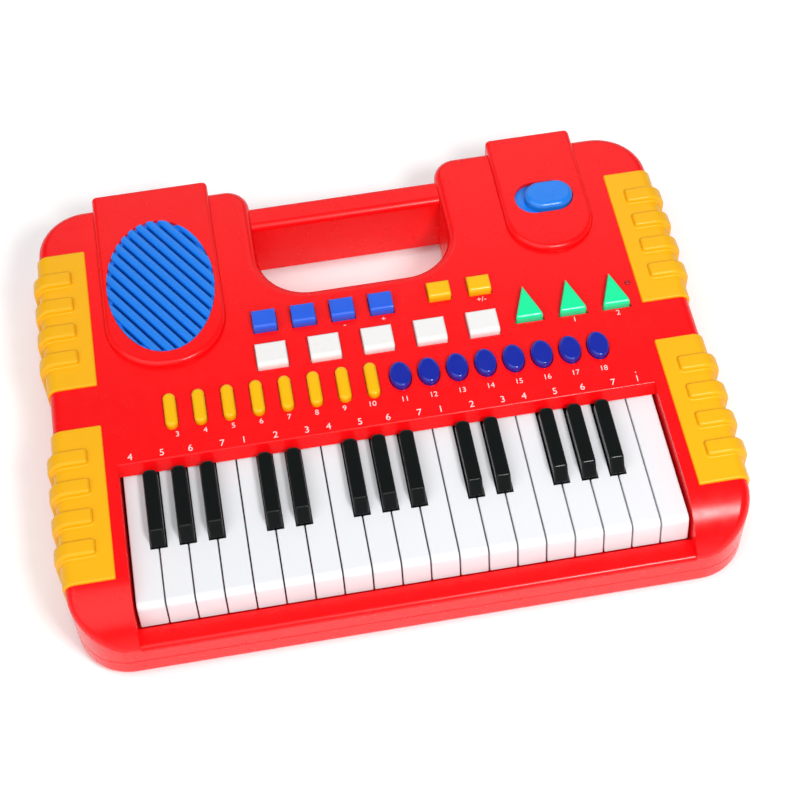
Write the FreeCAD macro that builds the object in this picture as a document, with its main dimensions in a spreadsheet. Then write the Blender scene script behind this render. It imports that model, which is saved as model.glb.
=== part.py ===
"""Toy keyboard with a carrying handle, a slatted loudspeaker grille and a panel of push buttons.

Frame, in millimetres: X to the player's right, Y from the player to the back, Z up. The origin
is the middle of the footprint, on the surface that the keyboard stands on.
"""
import FreeCAD, Part
import Sketcher
import math
import os

DOC = FreeCAD.newDocument("toy_keyboard")
SHEET = DOC.addObject("Spreadsheet::Sheet", "Sizes")

# Every driving dimension: its name, its value in millimetres (or degrees) and what it is.
SIZE_TABLE = [
    ("case_width", 376, "red case, side to side"),
    ("case_depth", 292, "red case, front wall to rear wall"),
    ("corner_radius", 30, "plan radius of the four case corners"),
    ("panel_height", 54, "table to the control panel"),
    ("parting_height", 17, "table to the line where the case halves meet"),
    ("foot_height", 2, "moulded feet under the case"),
    ("foot_radius", 9, "radius of a moulded foot"),
    ("foot_inset", 38, "case side to the middle of a foot"),
    ("wall", 2.5, "wall of both case halves"),
    ("edge_round", 6, "rounding along the top edge of the case"),
    ("base_round", 5, "rounding along the bottom edge of the case"),
    ("ledge_height", 30, "table to the ledge in front of the keys"),
    ("ledge_round", 3, "rounding of the ledge's front edge"),
    ("seam_round", 0.6, "rounding of both case halves where they meet"),
    ("recess_round", 1.2, "rounding of the upper edge of the key recess"),
    ("cheek_run", 37, "length of the rounded front of the cheeks"),
    ("overrun", 20, "how far a cut runs past the solid"),

    ("notch_width", 116, "opening behind the panel for the hand"),
    ("notch_depth", 86, "depth of that opening from the rear wall"),
    ("notch_round", 30, "plan radius at the bottom of the opening"),
    ("lobe_round", 14, "plan radius where the opening meets the rear wall"),
    ("bar_inset", 14, "rear wall to the back of the handle bar"),
    ("bar_depth", 17, "handle bar, front to back"),
    ("bar_top", 50, "table to the top of the handle bar"),
    ("bar_foot", 8, "table to the underside of the handle bar"),
    ("bar_parting", 25, "table to the line where the bar halves meet"),
    ("bar_round", 4, "rounding along the top of the handle bar"),

    ("tongue_rise", 4, "height of the raised tongues over the panel"),
    ("tongue_overhang", 6, "how far the tongues stand out of the rear wall"),
    ("tongue_round", 3, "rounding of the tongues' top edges"),
    ("tongue_end_share", 0.48, "radius of a tongue's round end, in its widths"),
    ("grille_x", 117, "middle of the case to the grille, leftwards"),
    ("grille_tongue_width", 71, "tongue around the grille, side to side"),
    ("grille_tongue_length", 134, "tongue around the grille, end to end"),
    ("switch_x", 120, "middle of the case to the switch, rightwards"),
    ("switch_tongue_width", 53, "tongue around the switch, side to side"),
    ("switch_tongue_length", 92, "tongue around the switch, end to end"),

    ("key_pitch", 16, "white key to white key"),
    ("key_gap", 0.8, "slit between two white keys"),
    ("front_margin", 17, "case front to the front edge of the white keys"),
    ("white_length", 80, "visible length of a white key"),
    ("white_top", 46, "table to the top of the white keys"),
    ("white_thick", 10, "height of a white key's side"),
    ("white_bend", 4, "rounding where the top of a white key turns into its front"),
    ("white_round", 0.8, "rounding of a white key's top edges"),
    ("lip_drop", 17, "height of a white key's front face"),
    ("lip_slant", 3, "how far that face leans forward at its foot"),
    ("lip_thick", 2.6, "wall of that face"),
    ("hollow_depth", 7, "hollow under a white key"),
    ("hollow_wall", 2, "wall around that hollow"),
    ("black_width", 8.2, "width of a black key"),
    ("black_length", 45.5, "visible length of a black key"),
    ("black_rise", 9, "height of a black key over the white ones"),
    ("black_slant", 6, "how far its front face leans back"),
    ("black_thick", 9, "depth of a black key below the white tops"),
    ("black_toe", 1.5, "upright foot of its front face"),
    ("black_round", 1.5, "rounding of a black key's top edges"),
    ("black_back_round", 3.2, "plan radius of a black key's back end"),
    ("black_gap", 0.7, "slit beside a black key"),
    ("pivot_back", 14, "key backs to the pivot rod"),
    ("pivot_drop", 10, "white tops down to the pivot rod"),
    ("rod_radius", 2, "radius of the pivot rod"),
    ("rod_fit", 0.08, "radial play of a key on the rod"),
    ("rod_bite", 2, "depth of the rod's ends in the case"),
    ("knuckle_radius", 4.5, "outer radius of a key's knuckle"),
    ("knuckle_width", 5.2, "width of a key's knuckle"),
    ("recess_side", 1, "slit between the end keys and the case"),
    ("recess_back", 6, "key backs to the upper edge of the recess"),
    ("recess_lean", 4, "how far the recess's rear wall leans back"),
    ("key_ceiling", 1.5, "space over the key tails, under the panel"),
    ("tray_floor", 22, "table to the floor under the keys"),
    ("tray_thick", 2, "thickness of that floor"),
    ("tray_tail", 5, "floor behind the pivot rod"),
    ("ledge_gap", 1.6, "slit between the ledge and the white keys"),

    ("bumper_width", 28, "bumper on top of the case, side to side"),
    ("bumper_length", 99, "bumper, front to back"),
    ("bumper_front", 32, "case front to the front bumper"),
    ("bumper_gap", 28, "front bumper to rear bumper"),
    ("bumper_seat", 1, "depth of the seat in the case"),
    ("bumper_proud", 1.5, "height of the bumper over the case"),
    ("bumper_skirt", 22, "table to the lower edge of a bumper"),
    ("bumper_fit", 0.1, "play at the ends of a bumper"),
    ("bumper_round", 1, "rounding of a bumper's outer edges"),
    ("rib_rise", 3.2, "height of a rib over its bumper"),
    ("rib_width", 10, "width of a rib"),
    ("rib_pitch", 19.4, "rib to rib"),
    ("rib_inset", 9, "bumper's inner edge to the ribs"),
    ("rib_skirt", 27, "table to the lower end of a rib"),
    ("rib_round", 2, "rounding of a rib's crest"),
    ("rib_foot_round", 1, "rounding at the foot of a rib"),

    ("button_fit", 0.4, "slit around a push button"),
    ("button_front_round", 3, "rounding of a button's front edge"),
    ("button_round", 1.2, "rounding of a button's top edge"),
    ("flange_over", 2, "flange that keeps a button in the panel"),
    ("flange_thick", 1.8, "thickness of that flange"),
    ("flange_play", 0.3, "space between the flange and the panel"),
    ("stem_drop", 2.4, "foot of a button below its flange"),
    ("white_button_width", 18, "white button, side to side"),
    ("white_button_depth", 16, "white button, front to back"),
    ("white_button_rise", 4.5, "white button over the panel"),
    ("white_button_pitch", 31, "white button to white button"),
    ("white_button_x", 3, "middle of the row of white buttons"),
    ("white_button_y", 63.3, "key backs to the row of white buttons"),
    ("blue_button_width", 14, "blue button, side to side"),
    ("blue_button_depth", 13, "blue button, front to back"),
    ("blue_button_rise", 5, "blue button over the panel"),
    ("blue_button_pitch", 23, "blue button to blue button"),
    ("blue_button_x", -25.5, "middle of the row of blue buttons"),
    ("blue_button_y", 88.5, "key backs to the row of blue buttons"),
    ("yellow_button_width", 13.5, "yellow button, side to side"),
    ("yellow_button_depth", 11, "yellow button, front to back"),
    ("yellow_button_rise", 5, "yellow button over the panel"),
    ("yellow_button_pitch", 24, "yellow button to yellow button"),
    ("yellow_button_x", 56, "middle of the row of yellow buttons"),
    ("yellow_button_y", 91, "key backs to the row of yellow buttons"),
    ("green_button_width", 17, "green triangle, along its base"),
    ("green_button_depth", 23, "green triangle, base to tip"),
    ("green_button_rise", 5, "green button over the panel"),
    ("green_button_pitch", 26, "green button to green button"),
    ("green_button_x", 118.5, "middle of the row of green buttons"),
    ("green_button_y", 61, "key backs to the base of the green buttons"),
    ("song_pitch", 16.5, "song button to song button"),
    ("song_x", 3.3, "middle of the row of song buttons"),
    ("song_y", 36, "key backs to the row of song buttons"),
    ("song_rise", 4, "song button over the panel"),
    ("pill_width", 7.2, "slim song button, side to side"),
    ("pill_length", 23, "slim song button, front to back"),
    ("pill_round", 2.2, "rounding of a slim song button"),
    ("oval_width", 12.4, "oval song button, side to side"),
    ("oval_length", 17.6, "oval song button, front to back"),
    ("oval_round", 1.8, "rounding of an oval song button"),
    ("lamp_x", 155, "middle of the case to the indicator hole"),
    ("lamp_y", 78, "key backs to the indicator hole"),
    ("lamp_radius", 1.8, "radius of the indicator hole"),

    ("grille_y", 125, "key backs to the middle of the grille"),
    ("grille_width", 63.6, "grille, side to side"),
    ("grille_length", 98, "grille, front to back"),
    ("grille_fit", 0.15, "slit around the grille"),
    ("grille_rim", 2, "rim around the slats"),
    ("grille_proud", 0.6, "height of the slats over the tongue"),
    ("grille_rim_drop", 2, "rim below the tongue"),
    ("slat_height", 4.5, "height of a slat"),
    ("slat_round", 2.2, "rounding along a slat"),
    ("grille_flange", 3, "flange under the panel that holds the grille"),
    ("grille_flange_thick", 1.5, "thickness of that flange"),
    ("slat_pitch", 6.4, "slat to slat"),
    ("slat_width", 5.1, "width of a slat"),
    ("slat_angle", 124, "direction of the slats, in degrees from X"),
    ("speaker_radius", 32, "outer radius of the loudspeaker"),
    ("speaker_rim", 4, "width of its rim"),
    ("speaker_rim_thick", 3, "thickness of its rim"),
    ("speaker_depth", 24, "depth of the loudspeaker"),
    ("magnet_radius", 15, "radius of its magnet"),
    ("magnet_thick", 8, "thickness of its magnet"),
    ("cone_depth", 9, "depth of its paper cone"),

    ("switch_y", 149, "key backs to the middle of the switch"),
    ("switch_recess_width", 36, "recess around the switch knob, side to side"),
    ("switch_recess_depth", 24, "that recess, front to back"),
    ("knob_width", 29.5, "switch knob, side to side"),
    ("knob_depth", 20.5, "switch knob, front to back"),
    ("knob_rise", 3.5, "switch knob over the tongue"),
    ("knob_round", 3, "rounding of the knob"),
    ("switch_skirt", 1, "skirt of the switch beyond its hole, at both ends of its travel"),
    ("switch_travel", 5.5, "stroke of the switch"),

    ("board_thick", 1.6, "circuit board"),
    ("board_drop", 7, "panel's underside to the circuit board"),
    ("board_left", 142, "middle of the case to the board's left edge"),
    ("board_right", 152, "middle of the case to the board's right edge"),
    ("board_step_x", 79, "middle of the case to the step in the board"),
    ("board_front", 23, "key backs to the board's front edge"),
    ("board_step_y", 66, "key backs to the step in the board"),
    ("board_rear", 99, "key backs to the board's rear edge"),
    ("board_post_radius", 3.2, "posts that carry the board"),
    ("strip_y", 32, "key backs forward to the contact strip"),
    ("strip_depth", 12, "contact strip, front to back"),
    ("strip_thick", 3, "base of the contact strip"),
    ("dome_radius", 4, "rubber dome under a key"),
    ("dome_height", 6, "height of a dome over its base"),
    ("dome_draft", 12, "taper of a dome, in degrees"),

    ("boss_inset", 18, "case side to the middle of a screw boss"),
    ("boss_radius", 5, "screw boss"),
    ("boss_front", 54, "case front to the front bosses"),
    ("boss_pitch", 105, "boss to boss"),
    ("screw_radius", 1.45, "shank of a case screw"),
    ("screw_fit", 0.2, "play around a screw"),
    ("screw_head_radius", 3, "head of a case screw"),
    ("screw_head_thick", 2.4, "thickness of the head"),
    ("screw_web", 5, "web of the boss that the screw clamps"),
    ("screw_reach", 14, "length of screw in the upper half"),
    ("bay_x", 60, "middle of the case to the battery bay"),
    ("bay_y", 12, "middle of the case to the battery bay, rearwards"),
    ("bay_width", 66, "battery bay, side to side"),
    ("bay_length", 62, "battery bay, front to back"),
    ("bay_height", 22, "table to the roof of the battery bay"),
    ("door_lap", 4, "door's overlap on the case"),
    ("door_thick", 2, "battery door"),
    ("door_fit", 0.3, "slit around the battery door"),
    ("door_groove_width", 2, "finger groove in the battery door"),
    ("door_groove_length", 24, "length of a finger groove"),
    ("door_groove_pitch", 5, "groove to groove"),
    ("door_groove_depth", 0.8, "depth of a groove"),
]

WHITE_KEYS = 19
KEYS_PER_OCTAVE = 7
SHARP_AFTER = (0, 1, 2, 4, 5)
RIBS = 4
PILLS = 8
OVALS = 8
BOSS_ROWS = 3
DOOR_GROOVES = 4
SLATS = 17
NEAR = 0.001


class Size:
    """A length with its value and the sheet formula that gives it, so that both stay in step."""

    def __init__(self, value, formula):
        self.value = value
        self.formula = formula

    def __add__(self, other):
        other = as_size(other)
        return Size(self.value + other.value, f"({self.formula} + {other.formula})")

    def __sub__(self, other):
        other = as_size(other)
        return Size(self.value - other.value, f"({self.formula} - {other.formula})")

    def __mul__(self, factor):
        factor = as_size(factor)
        return Size(self.value * factor.value, f"({self.formula} * {factor.formula})")

    def __truediv__(self, factor):
        factor = as_size(factor)
        return Size(self.value / factor.value, f"({self.formula} / {factor.formula})")

    def __neg__(self):
        return Size(-self.value, f"(-1 * {self.formula})")


def as_size(item):
    """The item itself, or a plain number as a Size."""
    return item if isinstance(item, Size) else Size(item, str(item))


def square_root(size):
    return Size(math.sqrt(size.value), f"sqrt({size.formula})")


class Sizes:
    """The sheet's cells as attributes, one Size for each row of the table."""

    def __init__(self, table):
        for row, (alias, value, meaning) in enumerate(table, 1):
            SHEET.set(f"A{row}", alias)
            SHEET.set(f"B{row}", str(value))
            SHEET.setAlias(f"B{row}", alias)
            SHEET.set(f"C{row}", meaning)
            setattr(self, alias, Size(value, f"{SHEET.Name}.{alias}"))
        DOC.recompute()


S = Sizes(SIZE_TABLE)
ZERO = Size(0, "0")

# Heights and places that several pieces share
CASE_SIDE = S.case_width / 2
CASE_FRONT = -(S.case_depth + S.tongue_overhang) / 2
CASE_REAR = CASE_FRONT + S.case_depth
CEILING = S.panel_height - S.wall
TONGUE_TOP = S.panel_height + S.tongue_rise
KEYS_FRONT = CASE_FRONT + S.front_margin
KEYS_BACK = KEYS_FRONT + S.white_length
PIVOT_Y = KEYS_BACK + S.pivot_back
PIVOT_Z = S.white_top - S.pivot_drop
RECESS_HALF = S.key_pitch * WHITE_KEYS / 2 + S.recess_side
RECESS_REAR = KEYS_BACK + S.recess_back
TAIL_END = PIVOT_Y + S.tray_tail
BOARD_TOP = CEILING - S.board_drop
BAR_REAR = CASE_REAR - S.bar_inset


def new_body(label):
    """An empty body whose label is the sub-part's name."""
    body = DOC.addObject("PartDesign::Body", label)
    body.Label = label
    return body


def new_sketch(body, role, offset=ZERO):
    """A sketch on one of the body's own origin planes, shifted along the plane's normal."""
    sketch = body.newObject("Sketcher::SketchObject", "Sketch")
    plane = next(item for item in body.Origin.OriginFeatures if item.Role == role)
    sketch.AttachmentSupport = [(plane, "")]
    sketch.MapMode = "FlatFace"
    sketch.setExpression("AttachmentOffset.Base.z", offset.formula)
    return sketch


def hold(sketch, kind, size, *where):
    """Add a dimension to the sketch and bind it to the sheet."""
    index = sketch.addConstraint(Sketcher.Constraint(kind, *where, size.value))
    sketch.setExpression(f"Constraints[{index}]", size.formula)


def vector(x, y):
    return FreeCAD.Vector(x.value, y.value, 0)


def outline(sketch, corners):
    """A closed outline of straight lines through corners given as (x, y) pairs."""
    first = sketch.GeometryCount
    count = len(corners)
    for index, corner in enumerate(corners):
        following = corners[(index + 1) % count]
        sketch.addGeometry(Part.LineSegment(vector(*corner), vector(*following)))
    for index, (x, y) in enumerate(corners):
        following = first + (index + 1) % count
        sketch.addConstraint(Sketcher.Constraint("Coincident", first + index, 2, following, 1))
        hold(sketch, "DistanceX", x, -1, 1, first + index, 1)
        hold(sketch, "DistanceY", y, -1, 1, first + index, 1)


def rectangle(sketch, x, y, width, depth):
    """A rectangle about the point (x, y)."""
    outline(sketch, [(x - width / 2, y - depth / 2), (x + width / 2, y - depth / 2),
                     (x + width / 2, y + depth / 2), (x - width / 2, y + depth / 2)])


def rounded(sketch, corners):
    """A closed outline of level and upright lines, with corners (x, y, radius) rounded."""
    count = len(corners)
    points = [vector(x, y) for x, y, _ in corners]
    trims = [radius.value for _, _, radius in corners]
    lines = []
    for index in range(count):
        start, end = points[index], points[(index + 1) % count]
        along = (end - start).normalize()
        start = start + along * trims[index]
        end = end - along * trims[(index + 1) % count]
        lines.append(sketch.addGeometry(Part.LineSegment(start, end)))
        level = abs(along.x) > abs(along.y)
        sketch.addConstraint(Sketcher.Constraint("Horizontal" if level else "Vertical", lines[-1]))
        place = corners[index][1] if level else corners[index][0]
        hold(sketch, "DistanceY" if level else "DistanceX", place, -1, 1, lines[-1], 1)
    for index in range(count):
        before, after = lines[index - 1], lines[index]
        radius = corners[index][2]
        if radius.value == 0:
            sketch.addConstraint(Sketcher.Constraint("Coincident", before, 2, after, 1))
            continue
        backward = (points[index - 1] - points[index]).normalize()
        onward = (points[(index + 1) % count] - points[index]).normalize()
        centre = points[index] + (backward + onward) * radius.value
        middle = centre - (backward + onward).normalize() * radius.value
        ends = [points[index] + backward * radius.value, points[index] + onward * radius.value]
        left_turn = onward.cross(backward).z > 0
        if not left_turn:
            ends.reverse()
        arc = sketch.addGeometry(Part.Arc(ends[0], middle, ends[1]))
        first, last = (1, 2) if left_turn else (2, 1)
        sketch.addConstraint(Sketcher.Constraint("Tangent", before, 2, arc, first))
        sketch.addConstraint(Sketcher.Constraint("Tangent", arc, last, after, 1))
        hold(sketch, "Radius", radius, arc)


def circle(sketch, x, y, radius):
    """A circle about the point (x, y)."""
    index = sketch.addGeometry(Part.Circle(vector(x, y), FreeCAD.Vector(0, 0, 1), radius.value))
    hold(sketch, "DistanceX", x, -1, 1, index, 3)
    hold(sketch, "DistanceY", y, -1, 1, index, 3)
    hold(sketch, "Radius", radius, index)


def ellipse(sketch, width, length, turn=None):
    """An ellipse about the sketch's origin, upright or with its long axis at turn degrees from x."""
    along = FreeCAD.Vector(0, 1, 0)
    if turn is not None:
        along = FreeCAD.Rotation(FreeCAD.Vector(0, 0, 1), turn.value).multVec(FreeCAD.Vector(1, 0, 0))
    across = along.cross(FreeCAD.Vector(0, 0, 1))
    centre = FreeCAD.Vector(0, 0, 0)
    curve = sketch.addGeometry(Part.Ellipse(along * (length.value / 2), across * (width.value / 2), centre))
    sketch.exposeInternalGeometry(curve)
    long_axis, short_axis = curve + 1, curve + 2
    sketch.addConstraint(Sketcher.Constraint("Coincident", curve, 3, -1, 1))
    if turn is None:
        sketch.addConstraint(Sketcher.Constraint("Vertical", long_axis))
    hold(sketch, "Distance", length, long_axis)
    hold(sketch, "Distance", width, short_axis)


def stadium(sketch, x, y, width, depth):
    """Two half circles joined by straight lines, about the point (x, y)."""
    upright = depth.value > width.value
    radius = (width if upright else depth) / 2
    reach = (depth if upright else width) / 2 - radius
    ends = [(x, y - reach), (x, y + reach)] if upright else [(x - reach, y), (x + reach, y)]
    quarter = math.pi / 2
    start = 2 * quarter if upright else quarter
    arcs = []
    for place, centre in enumerate(ends):
        rim = Part.Circle(vector(*centre), FreeCAD.Vector(0, 0, 1), radius.value)
        begin = start + place * 2 * quarter
        arcs.append(sketch.addGeometry(Part.ArcOfCircle(rim, begin, begin + 2 * quarter)))
    shapes = [sketch.Geometry[arc] for arc in arcs]
    sides = [sketch.addGeometry(Part.LineSegment(shapes[0].EndPoint, shapes[1].StartPoint)),
             sketch.addGeometry(Part.LineSegment(shapes[1].EndPoint, shapes[0].StartPoint))]
    for arc, side, other in ((arcs[0], sides[0], sides[1]), (arcs[1], sides[1], sides[0])):
        sketch.addConstraint(Sketcher.Constraint("Tangent", arc, 2, side, 1))
        sketch.addConstraint(Sketcher.Constraint("Tangent", other, 2, arc, 1))
    sketch.addConstraint(Sketcher.Constraint("Equal", *arcs))
    hold(sketch, "Radius", radius, arcs[0])
    for arc, centre in zip(arcs, ends):
        hold(sketch, "DistanceX", centre[0], -1, 1, arc, 3)
        hold(sketch, "DistanceY", centre[1], -1, 1, arc, 3)


def extrude(body, kind, sketch, length, flip, both_ways):
    feature = body.newObject(f"PartDesign::{kind}", kind)
    feature.Profile = sketch
    feature.setExpression("Length", length.formula)
    feature.Reversed = flip
    if both_ways:
        feature.SideType = "Symmetric"
    return feature


def pad(body, sketch, length, flip=False, both_ways=False):
    """Add the sketch's shape along the sketch's normal, or against it when flipped."""
    return extrude(body, "Pad", sketch, length, flip, both_ways)


def cut(body, sketch, length, flip=False, both_ways=False):
    """Remove the sketch's shape against the sketch's normal, or along it when flipped."""
    return extrude(body, "Pocket", sketch, length, flip, both_ways)


def soften(body, radius, wanted):
    """Round those edges of the body that the test picks."""
    DOC.recompute()
    base = body.Tip
    names = [f"Edge{number}" for number, edge in enumerate(base.Shape.Edges, 1) if wanted(edge)]
    feature = body.newObject("PartDesign::Fillet", "Fillet")
    feature.Base = (base, names)
    feature.setExpression("Radius", radius.formula)


def near(first, second):
    return abs(first - second) < NEAR


def level_at(edge, height):
    """Whether an edge lies wholly at one height."""
    box = edge.BoundBox
    return near(box.ZMin, height.value) and near(box.ZMax, height.value)


def put(item, x=ZERO, y=ZERO, z=ZERO):
    """Bind an object's place to the sheet."""
    item.setExpression("Placement.Base.x", x.formula)
    item.setExpression("Placement.Base.y", y.formula)
    item.setExpression("Placement.Base.z", z.formula)


def row(middle, pitch, count):
    """Evenly spaced places about a middle."""
    return [middle + pitch * (index - (count - 1) / 2) for index in range(count)]


# Plan shapes of the push buttons, each drawn about a point and grown outwards
def block_button(width, depth):
    def draw(sketch, x, y, grow):
        rectangle(sketch, x, y, width + grow * 2, depth + grow * 2)
    return draw


def pill_button(sketch, x, y, grow):
    stadium(sketch, x, y, S.pill_width + grow * 2, S.pill_length + grow * 2)


def oval_button(sketch, x, y, grow):
    half_width, half_length = S.oval_width / 2 + grow, S.oval_length / 2 + grow
    ends = vector(x, y + half_length), vector(x + half_width, y)
    curve = sketch.addGeometry(Part.Ellipse(*ends, vector(x, y)))
    sketch.exposeInternalGeometry(curve)
    hold(sketch, "DistanceX", x, -1, 1, curve, 3)
    hold(sketch, "DistanceY", y, -1, 1, curve, 3)
    sketch.addConstraint(Sketcher.Constraint("Vertical", curve + 1))
    hold(sketch, "Distance", half_length * 2, curve + 1)
    hold(sketch, "Distance", half_width * 2, curve + 2)


def triangle_button(sketch, x, y, grow):
    """A triangle that points to the back, with its base at y, grown square to its three sides."""
    half, height = S.green_button_width / 2, S.green_button_depth
    slope = square_root(half * half + height * height)
    wide = half + grow * (half + slope) / height
    outline(sketch, [(x - wide, y - grow), (x + wide, y - grow), (x, y + height + grow * slope / half)])


BUTTONS = [
    ("white_button", 5, S.white_button_pitch, S.white_button_x, S.white_button_y, S.white_button_rise,
     block_button(S.white_button_width, S.white_button_depth)),
    ("blue_button", 4, S.blue_button_pitch, S.blue_button_x, S.blue_button_y, S.blue_button_rise,
     block_button(S.blue_button_width, S.blue_button_depth)),
    ("yellow_button", 2, S.yellow_button_pitch, S.yellow_button_x, S.yellow_button_y, S.yellow_button_rise,
     block_button(S.yellow_button_width, S.yellow_button_depth)),
    ("green_button", 3, S.green_button_pitch, S.green_button_x, S.green_button_y, S.green_button_rise,
     triangle_button),
]
SONG_PLACES = row(S.song_x, S.song_pitch, PILLS + OVALS)
SONG_Y = KEYS_BACK + S.song_y
FLANGE_FOOT = CEILING - S.flange_play - S.flange_thick
SKIRT_WIDTH = S.switch_recess_width + S.switch_travel + S.switch_skirt * 2
SKIRT_DEPTH = S.switch_recess_depth + S.switch_skirt * 2
BOSS_PLACES = [(x, CASE_FRONT + S.boss_front + S.boss_pitch * index)
               for x in (-(CASE_SIDE - S.boss_inset), CASE_SIDE - S.boss_inset) for index in range(BOSS_ROWS)]
BUMPER_FRONTS = [CASE_FRONT + S.bumper_front, CASE_FRONT + S.bumper_front + S.bumper_length + S.bumper_gap]
POST_MARGIN = S.board_post_radius * 2
BOARD_POSTS = [(-(S.board_left - POST_MARGIN), SONG_Y),
               (-(S.board_step_x - S.board_post_radius), KEYS_BACK + S.board_step_y + POST_MARGIN),
               (S.board_right - POST_MARGIN, SONG_Y),
               (S.green_button_x + S.green_button_pitch / 2, KEYS_BACK + S.board_rear - POST_MARGIN)]


def case_plan(sketch, inset, front):
    """Plan of the case with the hand opening at the back, drawn a given distance inside its walls."""
    side, rear = CASE_SIDE - inset, CASE_REAR - inset
    half, foot = S.notch_width / 2 + inset, CASE_REAR - S.notch_depth - inset
    corner, lobe, bend = S.corner_radius - inset, S.lobe_round - inset, S.notch_round + inset
    rounded(sketch, [(-side, front, corner), (side, front, corner), (side, rear, corner),
                     (half, rear, lobe), (half, foot, bend), (-half, foot, bend),
                     (-half, rear, lobe), (-side, rear, corner)])


def tongue(sketch, x, width, length):
    """Plan of a raised tongue with a round front end, which stands out of the rear wall."""
    rear = CASE_REAR + S.tongue_overhang
    end, corner = width * S.tongue_end_share, S.tongue_round
    rounded(sketch, [(x - width / 2, rear - length, end), (x + width / 2, rear - length, end),
                     (x + width / 2, rear, corner), (x - width / 2, rear, corner)])


def bar_section(sketch, foot, top, corner):
    """Section of one half of the handle bar."""
    front = BAR_REAR - S.bar_depth
    rounded(sketch, [(front, foot, ZERO), (BAR_REAR, foot, ZERO), (BAR_REAR, top, corner),
                     (front, top, corner)])


def roll_off(body, top, run, drop, width):
    """Round an edge along the case front by an arc that is level at its top."""
    radius = (run * run + drop * drop) / (drop * 2)
    roll = new_sketch(body, "YZ_Plane")
    corners = [(CASE_FRONT, top - drop), (CASE_FRONT, top), (CASE_FRONT + run, top)]
    for start, end in ((0, 1), (1, 2)):
        roll.addGeometry(Part.LineSegment(vector(*corners[start]), vector(*corners[end])))
    centre = vector(CASE_FRONT + run, top - radius)
    chord = vector(*corners[0]) + vector(*corners[2])
    middle = centre + (chord - centre * 2).normalize() * radius.value
    roll.addGeometry(Part.Arc(vector(*corners[2]), middle, vector(*corners[0])))
    for before, after in ((0, 1), (1, 2), (2, 0)):
        roll.addConstraint(Sketcher.Constraint("Coincident", before, 2, after, 1))
    for line, point, (x, y) in ((0, 1, corners[0]), (0, 2, corners[1]), (1, 2, corners[2])):
        hold(roll, "DistanceX", x, -1, 1, line, point)
        hold(roll, "DistanceY", y, -1, 1, line, point)
    hold(roll, "Radius", radius, 2)
    cut(body, roll, width, both_ways=True)


def top_case():
    """Upper half of the case: panel, cheeks, tongues, key recess and the upper half of the handle."""
    body = new_body("top_case")
    plan = new_sketch(body, "XY_Plane", S.parting_height)
    case_plan(plan, ZERO, CASE_FRONT)
    pad(body, plan, S.panel_height - S.parting_height)
    soften(body, S.seam_round, lambda edge: level_at(edge, S.parting_height))

    # The cheeks roll down to the front wall on one large arc, tangent to the panel
    cheek_top = CASE_FRONT + S.cheek_run
    drop = S.panel_height - S.ledge_height
    roll_off(body, S.panel_height, S.cheek_run, drop, S.case_width + S.overrun)

    def top_edge(edge):
        box = edge.BoundBox
        seam = near(box.YMin, cheek_top.value) and near(box.YMax, cheek_top.value)
        upright = box.XLength < NEAR and box.YLength < NEAR
        return box.ZMin > S.ledge_height.value - NEAR and not seam and not upright

    soften(body, S.edge_round, top_edge)

    tongues = [(-S.grille_x, S.grille_tongue_width, S.grille_tongue_length),
               (S.switch_x, S.switch_tongue_width, S.switch_tongue_length)]
    for x, width, length in tongues:
        band = new_sketch(body, "XY_Plane", S.parting_height)
        tongue(band, x, width, length)
        pad(body, band, TONGUE_TOP - S.parting_height)
    soften(body, S.tongue_round, lambda edge: level_at(edge, TONGUE_TOP))

    bar = new_sketch(body, "YZ_Plane")
    bar_section(bar, S.bar_parting, S.bar_top, S.bar_round)
    pad(body, bar, S.notch_width + S.wall * 2, both_ways=True)

    key_recess(body)
    case_hollow(body)
    panel_openings(body)
    bumper_seats(body)
    return body


def key_recess(body):
    """Recess for the keys: ledge, floor, leaning rear wall and the space for the key tails."""
    front, high = CASE_FRONT - S.overrun, S.panel_height + S.overrun
    step = KEYS_FRONT - S.lip_slant - S.ledge_gap
    roof = S.white_top + S.key_ceiling
    side = new_sketch(body, "YZ_Plane")
    outline(side, [(front, S.ledge_height), (step, S.ledge_height), (step, S.tray_floor),
                   (TAIL_END, S.tray_floor), (TAIL_END, roof), (RECESS_REAR - S.recess_lean, roof),
                   (RECESS_REAR, S.panel_height), (RECESS_REAR, high), (front, high)])
    cut(body, side, RECESS_HALF * 2, both_ways=True)

    roll_off(body, S.ledge_height, S.ledge_round, S.ledge_round, RECESS_HALF * 2)

    def rim_edge(edge):
        box = edge.BoundBox
        rear = near(box.YMin, RECESS_REAR.value) and box.XLength > RECESS_HALF.value
        return rear and level_at(edge, S.panel_height)

    soften(body, S.recess_round, rim_edge)
    rod = new_sketch(body, "YZ_Plane")
    circle(rod, PIVOT_Y, PIVOT_Z, S.rod_radius)
    cut(body, rod, (RECESS_HALF + S.rod_bite) * 2, both_ways=True)


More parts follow.
